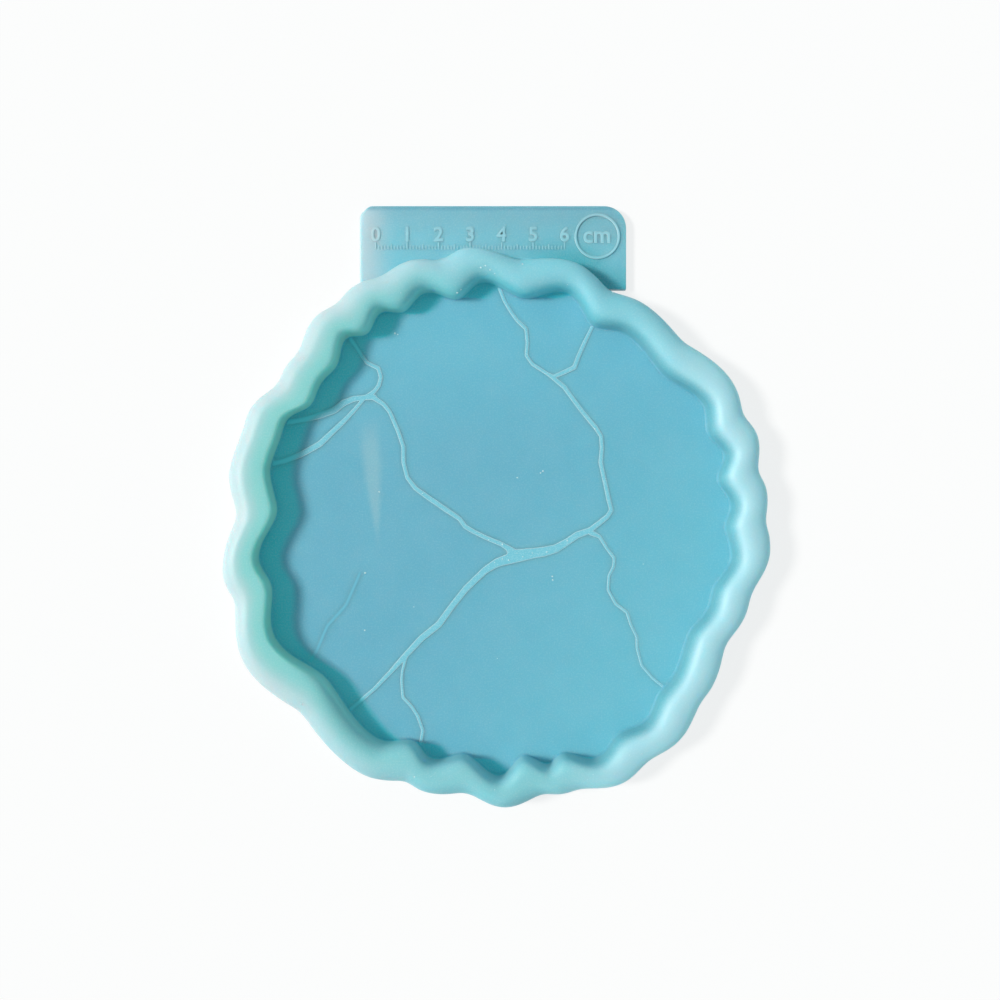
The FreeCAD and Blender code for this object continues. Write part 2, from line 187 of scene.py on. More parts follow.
def tint(name, meaning, screen_colour):
    """A colour, written as the six hex digits of its look on screen."""
    parts = [int(screen_colour[at:at + 2], 16) / 255 for at in (0, 2, 4)]
    linear = [part / 12.92 if part <= 0.04045 else ((part + 0.055) / 1.055) ** 2.4
              for part in parts]
    return bpy.props.FloatVectorProperty(
        name=name, description=meaning, default=linear, subtype="COLOR", min=0, max=1)


class CastingSizes(bpy.types.PropertyGroup):
    """Sizes of the floor, wall, rim and tab that the frame doesn't give."""
    columns: count("Columns", "Points round each outline", 720)
    soften_passes: count("Softening", "Times that an outline's corners are softened", 3)
    rim_steps: count("Rim steps", "Steps over the rim", 36)
    round_left: number("Round, left", "Roundness of the rim's inner side at the left", 0.18)
    round_right: number("Round, right", "Roundness of the rim's inner side elsewhere", 0.95)
    front_lack: number("Front lack", "Share of that roundness missing at the front", 0.35)
    foot_share: number("Foot share", "Share of the wall's height where its foot is read", 0.25)
    under_top: length("Under top", "How far under its top the wall's top is read", 0.05 * MM)
    wall_steps: count("Wall steps", "Steps up each side of the wall", 4)
    foot_steps: count("Foot steps", "Steps round the wall's inner foot", 6)
    edge_steps: count("Edge steps", "Steps round the underside's edge", 4)
    foot_round: length("Foot round", "Round between floor and wall", 0.6 * MM)
    edge_round: length("Edge round", "Round of the underside's outer edge", 0.4 * MM)
    tab_right_round: length("Right corner", "Round of the tab's right corner", 7 * MM)
    corner_steps: count("Corner steps", "Steps round that corner", 14)
    tab_left_cut: length("Left corner", "Slanted cut of the tab's left corner", 2.9 * MM)
    tab_cut_round: length("Cut round", "Round of the slanted cut's ends", 1.2 * MM)
    cut_steps: count("Cut steps", "Steps round the cut's ends", 5)
    tab_edge_round: length("Tab edge", "Round of the tab's top and bottom edges", 0.35 * MM)
    tab_edge_steps: count("Tab edge steps", "Steps round those edges", 3)
    tab_root: length("Tab root", "How far the tab reaches into the wall", 12 * MM)


class RidgeSizes(bpy.types.PropertyGroup):
    """Sizes of the crack lines, beside what the frame gives."""
    grain: length("Grain", "Size of the cells that the lines are remade in", 0.2 * MM)
    root: length("Root", "How far the lines reach into the floor", 0.3 * MM)
    merged: length("Merged", "Points closer than this become one", 0.001 * MM)
    soften_passes: count("Softening", "Times that the lines' edges are softened", 4)
    soften_share: number("Softening share", "How far a point moves each time", 0.5)
    widened: length("Widened", "How much the lines widen to each side", 0.08 * MM)
    widened_left: length("Widened, left", "How much more they widen at the left", 0.28 * MM)
    left_start: length("Left start", "Where that widening starts along X", -40 * MM)
    left_full: length("Left full", "Where it is full", -50 * MM)
    low_share: number("Low share", "Share of that height which the soft lines keep", 0.55)
    faint_radius: length("Faint radius", "Radius of the shallow line's cord form", 1.4 * MM)
    faint_shown: length("Faint cord", "How much of the cord is over the floor", 0.15 * MM)
    faint_share: number("Faint share", "Share of that height which the line keeps", 0.3)
    faint_steps: count("Faint steps", "Steps round a quarter of the cord form", 10)


class MarkSizes(bpy.types.PropertyGroup):
    """Sizes of the ring, scale and unit on the tab."""
    ring_sides: count("Ring sides", "Flat sides of the ring", 128)
    edge_round: length("Edge round", "Round of the raised edges", 0.1 * MM)
    edge_steps: count("Edge steps", "Steps round the ring's edges", 3)
    weight: length("Weight", "How much bolder than usual the characters are", 0.05 * MM)
    merged: length("Merged", "Points closer than this become one", 0.002 * MM)
    raised: length("Raised", "How high ticks and numbers stand", 0.25 * MM)
    sunk: length("Sunk", "How deep they reach into the tab", 0.2 * MM)
    scale_start: length("Scale start", "Place of the scale's zero along X", -38.5 * MM)
    scale_line: length("Scale line", "Place of the ticks' foot along Y", 89 * MM)
    division: length("Division", "From one tick to the next", 1 * MM)
    divisions: count("Divisions", "Ticks after the first", 60)
    tick_width: length("Tick width", "Width of a tick", 0.38 * MM)
    tick_round: length("Tick round", "Round of a tick's edges", 0.08 * MM)
    tick_steps: count("Tick steps", "Steps round a tick's edges", 2)
    tick_short: length("Short tick", "Length of a plain tick", 1.1 * MM)
    tick_half: length("Half tick", "Length of each fifth tick", 1.6 * MM)
    tick_long: length("Long tick", "Length of each tenth tick", 2.2 * MM)
    number_size: length("Number size", "Height of the letter size of the numbers", 6.2 * MM)
    number_gap: length("Number gap", "From a long tick to its number", 0.5 * MM)
    unit_size: length("Unit size", "Letter size of the unit in the ring", 7.4 * MM)
    unit_drop: number("Unit drop", "Share of that size from its foot to its middle", 0.26)


class BubbleSizes(bpy.types.PropertyGroup):
    """Sizes of the bubbles and grit in the surface."""
    bubble: length("Bubble", "Radius of the largest bubble", 0.36 * MM)
    grit: length("Grit", "Radius of the largest speck of grit", 0.26 * MM)
    rim_bubble: length("Rim bubble", "Radius of the largest bubble on the rim", 0.34 * MM)
    shown: number("Shown", "Share of a bubble's radius that stands proud", 0.5)


class FinishColours(bpy.types.PropertyGroup):
    """Colours of the silicone, with painted light and shade among them."""
    floor_left: tint("Floor, left", "Floor at the left and in the middle", "66B5CC")
    # Painted light: the floor lighter towards the right and the front.
    floor_right_painted_light: tint("Floor, right", "Floor at the right and the front", "6AC2D5")
    floor_back: tint("Floor, back", "Floor by the tab", "67BDD3")
    # Painted shade: teal floor where the left wall shades it from the key light, with the light
    # that comes through the wall.
    floor_painted_shade: tint("Floor, by the wall", "Floor close to the wall at the left", "48D4E2")
    # Painted fill light: the wall is brighter where the key light misses it.
    wall: tint("Wall", "Wall and the rim's inner flank", "64C8D5")
    # Painted sheen on the wall's slopes at the front.
    wall_front_painted_sheen: tint("Wall, front", "The same at the front", "84C8D2")
    # The wall's darker copy where the key light falls straight on it.
    wall_darker_where_lit: tint("Wall, right", "The same at the right", "66B2BF")
    # Painted glow: light that comes through the wall at the left.
    wall_left_painted_glow: tint("Wall, left", "The same at the left, where light comes through", "A0ECDC")
    rim: tint("Rim", "Crest of the rim at the back", "88CEDB")
    rim_front: tint("Rim, front", "Crest of the rim at the front", "86CCD4")
    # Painted sheen: paler crest at the right.
    rim_right_painted_sheen: tint("Rim, right", "Crest of the rim at the right", "ABDAE4")
    flank: tint("Flank", "Outer flank of the rim at the back", "7ECEDD")
    flank_front: tint("Flank, front", "Outer flank of the rim at the front", "7AC4D0")
    # Painted sheen: paler outer flank at the right.
    flank_right_painted_sheen: tint("Flank, right", "Outer flank of the rim at the right", "A8E9F4")
    # Painted glow: mint where light comes through the rim at the left.
    rim_left_painted_glow: tint("Rim, left", "Inner part of the rim at the left", "8AD5D3")
    # Painted sheen: nearly white on the rim's outer part at the left, which faces the key light.
    rim_left_painted_sheen: tint("Rim, pale", "Outer part of the rim at the left", "C0D6DA")
    # Painted reflection: a pale streak on the floor.
    reflection_streak: tint("Smear", "Cloudy streak in the floor", "A8CCD2")
    tab: tint("Tab", "Label tab", "7AB9C9")
    tab_front: tint("Tab, front", "Label tab towards the rim", "7AC6D7")
    tab_pale: tint("Tab, pale", "Thin left side of the label tab", "B8CFD7")
    tab_brink: tint("Tab, back", "Back edge of the label tab", "5C98AC")
    # Painted shade: the tab where the rim shades it.
    tab_painted_shade: tint("Tab, by the wall", "Tab in the rim's shade", "3FB0BE")
    ridge: tint("Crack lines", "Crack lines on the floor", "78CADC")
    # Painted shade: the crack lines where the left wall shades them.
    ridge_painted_shade: tint("Crack lines, shaded", "Crack lines by the left wall", "5EDCEA")
    # Painted glints on the crack lines' edges, and their specks.
    ridge_specks_and_glints: tint("Crack lines, pale", "Specks and edges of the crack lines", "E7F9FC")
    # Painted glints on the marks' edges, over their paler frost.
    mark_frost_and_glints: tint("Marks, pale", "Edges of ring, ticks and numbers", "DDF6F9")
    grit: tint("Grit", "Bubbles and grit", "D8F2F6")


class FinishSizes(bpy.types.PropertyGroup):
    """Sizes, places and strengths of what varies in the silicone's look."""
    scatter_red: length("Scatter, red", "How far red light spreads inside", 1.5 * MM)
    scatter_green: length("Scatter, green", "How far green light spreads inside", 4 * MM)
    scatter_blue: length("Scatter, blue", "How far blue light spreads inside", 4.6 * MM)
    cloud: length("Cloud", "Size of the faint cloudy patches", 9 * MM)
    cloud_strength: number("Cloud strength", "How white they are", 0.06)
    grain: length("Grain", "Size of the surface's grain", 0.5 * MM)
    grain_depth: length("Grain depth", "Depth of the surface's grain", 0.006 * MM)
    fleck_start: number("Fleck start", "Strength of the grain that turns white", 0.45)
    fleck_strength: number("Fleck strength", "How white it turns", 0.3)
    swell: length("Swell", "Size of the surface's swells", 14 * MM)
    swell_depth: length("Swell depth", "Depth of the surface's swells", 0.05 * MM)
    # Where the painted shade by the left wall lies, measured off the wall towards the key light.
    lee_reach: length("Shade reach", "How far off the wall its shade is looked for", 14 * MM)
    lee_step: length("Shade step", "Steps in which it is looked for", 0.25 * MM)
    lee_full: length("Shade core", "Width of the full shade by the wall", 5.5 * MM)
    lee_gone: length("Shade end", "Where that shade ends", 9 * MM)
    wall_low: length("Wall start", "Height over the floor where the wall's colour starts", 0.3 * MM)
    wall_rise: length("Wall blend", "Height over which the colours blend", 2 * MM)
    # Place and shape of the painted reflection, a pale streak across the floor.
    reflection_x: length("Smear X", "Place of the floor's cloudy streak at the middle", -38.1 * MM)
    reflection_lean: number("Smear lean", "How much the streak leans", 0.08)
    reflection_thin: length("Smear, thin end", "Half the streak's width at its front end", 0.8 * MM)
    reflection_wide: length("Smear, wide end", "Half the streak's width at its back end", 4.4 * MM)
    reflection_front: length("Smear front", "Where the streak starts", -8 * MM)
    reflection_rise: length("Smear rise", "Where the streak is full", 8 * MM)
    reflection_fade: length("Smear fade", "Where the streak starts to fade", 24 * MM)
    reflection_back: length("Smear back", "Where the streak ends", 38 * MM)
    reflection_core: number("Smear core", "Share of its width where the streak is full", 0.2)
    reflection_strength: number("Smear strength", "How much the streak shows", 0.38)
    line_softness: number("Line softness", "How little the crack lines' flanks shade", 0.75)
    line_speck: length("Line speck", "Size of the crack lines' specks", 0.35 * MM)
    line_specks: number("Line specks", "How pale the specks are", 0.3)
    # Painted glints on the crack lines' edges.
    line_glints: number("Line edges", "How pale the crack lines' edges are", 0.5)
    line_patch: length("Line patch", "Size of the crack lines' deeper patches", 4 * MM)
    line_patches: number("Line patches", "How deep the patches are", 0.35)
    line_frost: length("Line frost", "Size of the frosting on the crack lines", 0.3 * MM)
    line_frost_depth: length("Line frost depth", "Depth of the frosting", 0.05 * MM)
    faint_strength: number("Faint strength", "How much the shallow line shows", 0.12)
    mark_softness: number("Mark softness", "How little the flanks of ring and scale shade", 0.5)
    mark_paleness: number("Mark paleness", "How much paler than the tab they are", 0.16)
    mark_clouds: number("Mark clouds", "How pale their cloudy patches are", 0.1)
    # Painted glints on the edges of ring, ticks and numbers.
    mark_glints: number("Mark edges", "How pale their edges are", 0.5)
    mark_cloud: length("Mark cloud", "Size of their cloudy patches", 3 * MM)
    mark_grain: length("Mark grain", "Size of their grain", 0.4 * MM)
    mark_grain_depth: length("Mark grain depth", "Depth of their grain", 0.01 * MM)
    bubble_cloud: length("Bubble cloud", "Size of the patches on bubbles and grit", 0.4 * MM)
    bubble_clouds: number("Bubble clouds", "How deep those patches are", 0.4)
    tab_seam: length("Tab seam", "Width over which the tab's colour starts", 0.05 * MM)
    tab_brink_strength: number("Brink strength", "How dark the tab's back edge is", 0.6)
    tab_pale_width: length("Pale side", "Width of the tab's pale left side", 12 * MM)
    tab_brink: length("Dark brink", "Width of the tab's darker back edge", 2 * MM)
    tab_brightening: length("Brightening", "Width over which the tab turns brighter", 14 * MM)
    tab_shade: length("Tab shade", "Width of the rim's shade on the tab", 12 * MM)


class StudioSettings(bpy.types.PropertyGroup):
    """Camera and light."""
    camera_height: length("Camera height", "Height of the camera over the base", 360 * MM)
    camera_x: length("Camera X", "Place of the camera along X", 0.94 * MM)
    camera_y: length("Camera Y", "Place of the camera along Y", 9.4 * MM)
    camera_near: length("Camera near", "Nearest that the camera sees", 10 * MM)
    lens: number("Lens", "Focal length in millimetres on a 36 mm sensor", 40.48)
    key_azimuth: turn("Key azimuth", "Direction that the key light comes from", 175)
    key_elevation: turn("Key elevation", "Height of the key light", 44)
    key_softness: turn("Key softness", "Width of the key light as seen from the mould", 11)
    key_strength: number("Key strength", "Strength of the key light", 2.75)
    ambient: number("Ambient", "Strength of the light from all around", 0.44)
    key_tint: tint("Key tint", "Colour of the key light", "FFFAF6")
    sky_tint: tint("Sky tint", "Colour of the light from all around", "EAFDFF")
    floor_size: length("Floor size", "Side of the floor", 6000 * MM)
    floor_drop: length("Floor drop", "How far the floor lies under the mould", 0.1 * MM)
    floor_white: number("Floor white", "Share of the light that the floor gives back", 0.9)
    floor_rough: number("Floor roughness", "Roughness of the floor", 0.9)
    floor_veil: number("Floor veil", "How much of the floor's look is plain white", 0.78)


def deselect_all():
    bpy.ops.object.select_all(action="DESELECT")


def activate(piece):
    """Make a piece the only selected one, ready for an operator."""
    deselect_all()
    piece.select_set(True)
    bpy.context.view_layer.objects.active = piece


def new_piece(name):
    """Name the primitive that was just added."""
    piece = bpy.context.view_layer.objects.active
    piece.name = name
    piece.data.name = name
    return piece


def edit(piece):
    """Open a piece for editing with all of it selected, and give its mesh."""
    activate(piece)
    bpy.ops.object.mode_set(mode="EDIT")
    bpy.ops.mesh.select_mode(type="VERT")
    bpy.ops.mesh.select_all(action="SELECT")
    return bmesh.from_edit_mesh(piece.data)


def leave_edit():
    bpy.ops.object.mode_set(mode="OBJECT")


def edit_empty_piece(name):
    """A piece open for editing with nothing in it, ready for primitives."""
    bpy.ops.mesh.primitive_plane_add(size=1)
    piece = new_piece(name)
    edit(piece)
    bpy.ops.mesh.delete(type="VERT")
    return piece


def bevel(piece, wanted, width, steps):
    """Round, or in one step cut, the edges that a test picks by their two ends."""
    mesh = bmesh.from_edit_mesh(piece.data)
    bpy.ops.mesh.select_mode(type="EDGE")
    bpy.ops.mesh.select_all(action="DESELECT")
    for edge in mesh.edges:
        first, second = (corner.co for corner in edge.verts)
        edge.select_set(wanted(first, second))
    mesh.select_flush_mode()
    bmesh.update_edit_mesh(piece.data)
    bpy.ops.mesh.bevel(offset=width, segments=steps, affect="EDGES")


def join_pieces(name, pieces):
    """Several like pieces as one."""
    deselect_all()
    for piece in pieces:
        piece.select_set(True)
    bpy.context.view_layer.objects.active = pieces[0]
    bpy.ops.object.join()
    return new_piece(name)


def apply_modifier(piece, kind, **settings):
    """Add one modifier and make it part of the mesh."""
    activate(piece)
    modifier = piece.modifiers.new(kind.title(), kind)
    for name, value in settings.items():
        setattr(modifier, name, value)
    bpy.ops.object.modifier_apply(modifier=modifier.name)


def apply_place(piece):
    """Put a piece's place, turn and scale in its mesh."""
    activate(piece)
    bpy.ops.object.transform_apply(location=True, rotation=True, scale=True)


def settle(piece, finish, nodes=()):
    """Put a piece's place in its mesh, and give it its body, finish and slot."""
    apply_place(piece)
    mark_places(piece)
    bpy.ops.object.shade_smooth_by_angle(angle=SMOOTH_ANGLE)
    piece.data.materials.clear()
    piece.data.materials.append(finish)
    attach(piece, BODY)
    if nodes:
        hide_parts(*nodes)
    deselect_all()


class Value:
    """A shader value that takes part in sums as a number does."""

    def __init__(self, nodes, socket):
        self.nodes = nodes
        self.socket = socket

    def __add__(self, other):
        return self.nodes.maths("ADD", self, other)

    def __sub__(self, other):
        return self.nodes.maths("SUBTRACT", self, other)

    def __rsub__(self, other):
        return self.nodes.maths("SUBTRACT", other, self)

    def __mul__(self, other):
        return self.nodes.maths("MULTIPLY", self, other)

    __radd__ = __add__
    __rmul__ = __mul__

    def between(self, low, high):
        """0 below low, 1 above high, and a smooth rise from one to the other."""
        return self.nodes.node(
            "ShaderNodeMapRange", {"interpolation_type": "SMOOTHSTEP"},
            {"Value": self, "From Min": low, "From Max": high})

    def over(self, shares, whole=1):
        """The same, from the first of two shares of a whole to the second."""
        start, end = shares
        return self.between(start * whole, end * whole)


class Nodes:
    """The nodes of a material or a world."""

    def __init__(self, owner):
        owner.use_nodes = True
        self.tree = owner.node_tree

    def node(self, kind, settings=None, values=None, output=0):
        """Add a node, set it up, feed its inputs and give one of its outputs."""
        made = self.tree.nodes.new(kind)
        for name, setting in (settings or {}).items():
            setattr(made, name, setting)
        for name, value in (values or {}).items():
            self.feed(made.inputs[name], value)
        return Value(self, made.outputs[output])

    def feed(self, socket, value):
        """Link a shader value to an input, or set it to a plain one."""
        if isinstance(value, Value):
            self.tree.links.new(value.socket, socket)
        elif hasattr(value, "__len__") and len(value) == 3 and socket.type == "RGBA":
            socket.default_value = (*value, 1)
        else:
            socket.default_value = value

    def maths(self, operation, *terms):
        """One operation on numbers and shader values."""
        return self.node("ShaderNodeMath", {"operation": operation}, dict(enumerate(terms)))

    def layers(self, colour, *coats):
        """A colour with others over it, each covering by its share from 0 to 1."""
        factor, under, over, result = 0, 6, 7, 2
        for coat, share in coats:
            colour = self.node(
                "ShaderNodeMix", {"data_type": "RGBA"},
                {factor: share, under: colour, over: coat}, result)
        return colour


class Finish(Nodes):
    """One material, with the nodes that vary it over a piece."""

    def __init__(self, name):
        self.material = bpy.data.materials.new(name)
        super().__init__(self.material)
        self.colours = bpy.context.scene.mould_colours
        self.look = bpy.context.scene.mould_finish
        self.shader = self.tree.nodes["Principled BSDF"]
        self.place = self.node("ShaderNodeTexCoord", output="Object")
        self.x, self.y, self.z = (
            self.node("ShaderNodeSeparateXYZ", values={0: self.place}, output=axis)
            for axis in "XYZ")

    def noise(self, size, detail):
        """Soft noise from 0 to 1, with patches of about this size."""
        return self.node(
            "ShaderNodeTexNoise", values={
                "Vector": self.place, "Scale": 1 / size, "Detail": detail},
            output="Fac")

    def bump(self, height, distance, under=None):
        """Small relief of a given depth, on top of another if one is named."""
        values = {"Height": height, "Distance": distance}
        if under:
            values["Normal"] = under
        return self.node("ShaderNodeBump", values=values, output="Normal")

    def surface(self, **inputs):
        """Feed the shader's own inputs, written with _ for each space."""
        for name, value in inputs.items():
            self.feed(self.shader.inputs[name.replace("_", " ")], value)
        return self.material


def stored(finish, name):
    """A number that the mesh keeps at each of its points."""
    return finish.node("ShaderNodeAttribute", {"attribute_name": name}, output="Fac")


def shade_share(finish):
    """Where the wall's shade is painted: 1 on what lies close to the wall on the key light's side,
    0 elsewhere.
    """
    look = finish.look
    return 1 - stored(finish, "off_wall").between(look.lee_full, look.lee_gone)


def floor_colour(finish):
    """Bluer at the left and lighter at the right as painted light, teal painted shade by the left
    wall, and one pale streak of painted reflection; plain underneath.
    """
    colours, look, x, y = finish.colours, finish.look, finish.x, finish.y
    upper = finish.z.over(UPPER_SHARES, FLOOR_TOP)
    # Painted reflection: a pale streak across the floor.
    off_streak = finish.maths("ABSOLUTE", x - look.reflection_x + look.reflection_lean * y)
    widening = y.between(look.reflection_front, look.reflection_fade)
    half_width = look.reflection_thin + widening * (look.reflection_wide - look.reflection_thin)
    streak = (1 - off_streak.between(look.reflection_core * half_width, half_width)) * y.between(
        look.reflection_front, look.reflection_rise) * (1 - y.between(look.reflection_fade, look.reflection_back))
    return finish.layers(
        colours.floor_left,
        (colours.floor_right_painted_light, (x - FLOOR_RIGHT_LEAN_SHARE * y).over(FLOOR_RIGHT_SHARES, REACH)),
        (colours.floor_back, y.over(FLOOR_BACK_SHARES, REACH)),
        (colours.floor_painted_shade, shade_share(finish) * upper),
        (colours.reflection_streak, streak * upper * look.reflection_strength))


def rim_colour(finish):
    """Deep on both flanks and paler on the crest, with painted light: a mint painted glow to a
    nearly white painted sheen at the left, a paler painted sheen at the right, and a wall brighter
    where the key light misses it than where it falls straight on.
    """
    colours, x, y = finish.colours, finish.x, finish.y
    across = stored(finish, "across")
    back = y.over(RIM_BACK_SHARES, REACH)
    right = (x - RIM_RIGHT_LEAN_SHARE * y).over(RIM_RIGHT_SHARES, REACH)
    off_left = (x - RIM_LEFT_LEAN_SHARE * y).over(RIM_LEFT_SHARES, REACH)
    wall_darker_where_lit = x.over(WALL_RIGHT_SHARES, REACH)
    # The wall's colour is painted by how the key light falls: brighter where it misses, a painted
    # sheen at the front, darker at the right where it falls straight on.
    wall = finish.layers(
        colours.wall_front_painted_sheen, (colours.wall, back), (colours.wall_darker_where_lit, wall_darker_where_lit))
    # The crest and outer flank turn paler at the right, a painted sheen.
    crest = finish.layers(colours.rim_front, (colours.rim, back), (colours.rim_right_painted_sheen, right))
    flank = finish.layers(
        colours.flank_front, (colours.flank, back), (colours.flank_right_painted_sheen, right))
    # Painted light at the left: a mint painted glow on the wall and the rim's inner part, and a
    # nearly white painted sheen on its outer part.
    left = finish.layers(colours.rim_left_painted_glow, (colours.rim_left_painted_sheen, across.over(LEFT_SHEEN_SHARES)))
    left = finish.layers(colours.wall_left_painted_glow, (left, across.over(LEFT_WALL_SHARES)))
    rim = finish.layers(
        wall, (crest, across.over(CREST_SHARES)), (flank, across.over(FLANK_SHARES)))
    return finish.layers(left, (rim, off_left))


def tab_colour(finish):
    """Grey-blue, paler at the thin left side, with deep teal painted shade where the rim shades it.
    """
    colours, look, x, y = finish.colours, finish.look, finish.x, finish.y
    left, back = TAB_LOW.x, TAB_HIGH.y
    brink = y.between(back - look.tab_brink, back - look.tab_brink / 4)
    shade = 1 - stored(finish, "beyond_wall").between(0, look.tab_shade)
    return finish.layers(
        colours.tab_front,
        (colours.tab, y.between(back - look.tab_brightening, back)),
        (colours.tab_pale, 1 - x.between(left, left + look.tab_pale_width)),
        (colours.tab_brink, look.tab_brink_strength * brink),
        (colours.tab_painted_shade, shade * x.over(TAB_SHADE_SHARES, REACH)))


@cache
def silicone():
    """Translucent satin silicone: bluer on the floor, with a mint painted glow at the left wall and
    other painted light and shade.
    """
    finish = Finish("silicone")
    look, z = finish.look, finish.z
    low = FLOOR_TOP + look.wall_low
    over_floor = z.between(low, low + look.wall_rise)
    over_edge = z.between(0, bpy.context.scene.mould_casting.edge_round)
    outside = stored(finish, "across").over(OUTSIDE_SHARES) * over_edge
    over_tab = z.between(TAB_HIGH.z, TAB_HIGH.z + look.tab_seam)
    beyond = stored(finish, "beyond_wall").between(0, look.tab_seam)
    on_tab = beyond * (1 - over_tab) * finish.y.over(TAB_START_SHARES, REACH)
    cloud = finish.noise(look.cloud, 3)
    grain = finish.noise(look.grain, 2)
    casting = finish.layers(
        floor_colour(finish),
        (rim_colour(finish), finish.maths("MAXIMUM", over_floor, outside)),
        (tab_colour(finish), on_tab),
        (WHITE, look.cloud_strength * cloud),
        (WHITE, look.fleck_strength * (grain - look.fleck_start)))
    swell = finish.noise(look.swell, 1)
    relief = finish.bump(swell, look.swell_depth, finish.bump(grain, look.grain_depth))
    return finish.surface(
        Base_Color=casting,
        Roughness=0.4 + 0.1 * cloud,
        IOR=SILICONE_IOR,
        Subsurface_Weight=0.85,
        Subsurface_Radius=(look.scatter_red, look.scatter_green, look.scatter_blue),
        Subsurface_Scale=1.0,
        Normal=relief)


def softened(finish, relief, softness):
    """Lean a surface's direction back towards straight up, so small flanks shade less."""
    factor, vector_a, vector_b, vector_out = 0, 4, 5, 1
    leaned = finish.node(
        "ShaderNodeMix", {"data_type": "VECTOR"},
        {factor: softness, vector_a: relief, vector_b: tuple(UP)}, vector_out)
    return finish.node("ShaderNodeVectorMath", {"operation": "NORMALIZE"}, {0: leaned})


def line_finish(name, strength=1):
    """Frosted silicone, speckled by the grit it was cast on, with painted glints on its edges and
    painted shade by the left wall.

    Light spreads from line to floor inside the casting, so the flanks show little shade.
    """
    finish = Finish(name)
    colours, look = finish.colours, finish.look
    speckle = finish.noise(look.line_speck, 3).over(SPECKLE_SHARES)
    # Painted glints on the lines' steep edges.
    edge = stored(finish, "steep").over(LINE_GLINT_SHARES)
    line = finish.layers(
        colours.ridge,
        (colours.ridge_specks_and_glints, look.line_specks * speckle + look.line_glints * edge),
        (colours.floor_left, look.line_patches * finish.noise(look.line_patch, 2)),
        (colours.ridge_painted_shade, shade_share(finish)))
    frost = finish.bump(finish.noise(look.line_frost, 3), look.line_frost_depth)
    return finish.surface(
        Base_Color=finish.layers(floor_colour(finish), (line, strength)),
        Roughness=0.46 - 0.15 * speckle,
        IOR=SILICONE_IOR,
        Normal=softened(finish, frost, look.line_softness))


@cache
def raised_silicone():
    """Silicone of the ring, ticks and numbers, paler than the tab, with painted glints at its
    edges.
    """
    finish = Finish("raised_silicone")
    colours, look = finish.colours, finish.look
    cloud = finish.noise(look.mark_cloud, 2)
    # Painted glints on the marks' steep edges.
    edge = stored(finish, "steep").over(MARK_GLINT_SHARES)
    paleness = look.mark_paleness + look.mark_clouds * cloud + look.mark_glints * edge
    grain = finish.bump(finish.noise(look.mark_grain, 2), look.mark_grain_depth)
    return finish.surface(
        Base_Color=finish.layers(tab_colour(finish), (colours.mark_frost_and_glints, paleness)),
        Roughness=0.2 + 0.1 * cloud,
        IOR=SILICONE_IOR,
        Normal=softened(finish, grain, look.mark_softness))


@cache
def bubble_silicone():
    """Thin glossy skin over a bubble or a speck of grit."""
    finish = Finish("bubble_silicone")
    colours, look = finish.colours, finish.look
    cloud = finish.noise(look.bubble_cloud, 1)
    return finish.surface(
        Base_Color=finish.layers(colours.grit, (colours.rim_right_painted_sheen, look.bubble_clouds * cloud)),
        Roughness=0.12 + 0.1 * cloud,
        IOR=SILICONE_IOR)


def directions(columns):
    """Unit vector of each column round the mould."""
    turns = np.arange(columns) * (2 * np.pi / columns)
    return np.stack([np.cos(turns), np.sin(turns)], axis=1)


def column_at(x, y, columns):
    """Which column each of these places lies on."""
    return np.rint(np.arctan2(y, x) * columns / (2 * np.pi)).astype(int) % columns


def read_outline(height, from_inside):
    """Radius of the frame's wavy wall at each column, at one height."""
    sizes = bpy.context.scene.mould_casting
    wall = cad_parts["side_wall"]
    outside = 2 * REACH
    radii = []
    for x, y in directions(sizes.columns):
        outwards = Vector((x, y, 0))
        start = UP * height if from_inside else outwards * outside + UP * height
        hit, place, _, _ = wall.ray_cast(start, outwards if from_inside else -outwards)
        if not hit:
            raise RuntimeError(f"the frame's wall has no outline at {height:.4f} m")
        radii.append(place.xy.length)
    radii = np.array(radii)
    for _ in range(sizes.soften_passes):
        radii = (np.roll(radii, 1) + 2 * radii + np.roll(radii, -1)) / 4
    return radii


@cache
def casting_outlines():
    """Inner radius over the foot, inner and outer radius under the rim, read once."""
    sizes = bpy.context.scene.mould_casting
    foot, top = (corner.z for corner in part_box("side_wall"))
    over_foot = foot + (top - foot) * sizes.foot_share
    under_top = top - sizes.under_top
    return (
        read_outline(over_foot, from_inside=True),
        read_outline(under_top, from_inside=True),
        read_outline(under_top, from_inside=False))


def eased(places, shares):
    """0 before the first of two shares, 1 past the second, and a smooth rise between."""
    start, end = shares
    rise = np.clip((places - start) / (end - start), 0, 1)
    return rise * rise * (3 - 2 * rise)


def inner_roundness(sizes):
    """Roundness of the rim's inner side at each column: closer corners left and front."""
    rightwards, backwards = directions(sizes.columns).T
    off_left = rightwards - LEAN_SHARE * np.minimum(backwards - LEAN_START_SHARE, 0)
    share = eased(off_left, ROUND_TURN_SHARES)
    share = share * (1 - sizes.front_lack * eased(backwards, FRONT_TURN_SHARES))
    return sizes.round_left + (sizes.round_right - sizes.round_left) * share


def rim_section(travel, roundness):
    """Shares across and up the rim, at a share of the way from inside to outside."""
    lean = math.pi * travel
    back, up = math.cos(lean), max(math.sin(lean), 0)
    if travel < 0.5:
        back, up = back ** roundness, up ** roundness
    return (1 - back) / 2, up


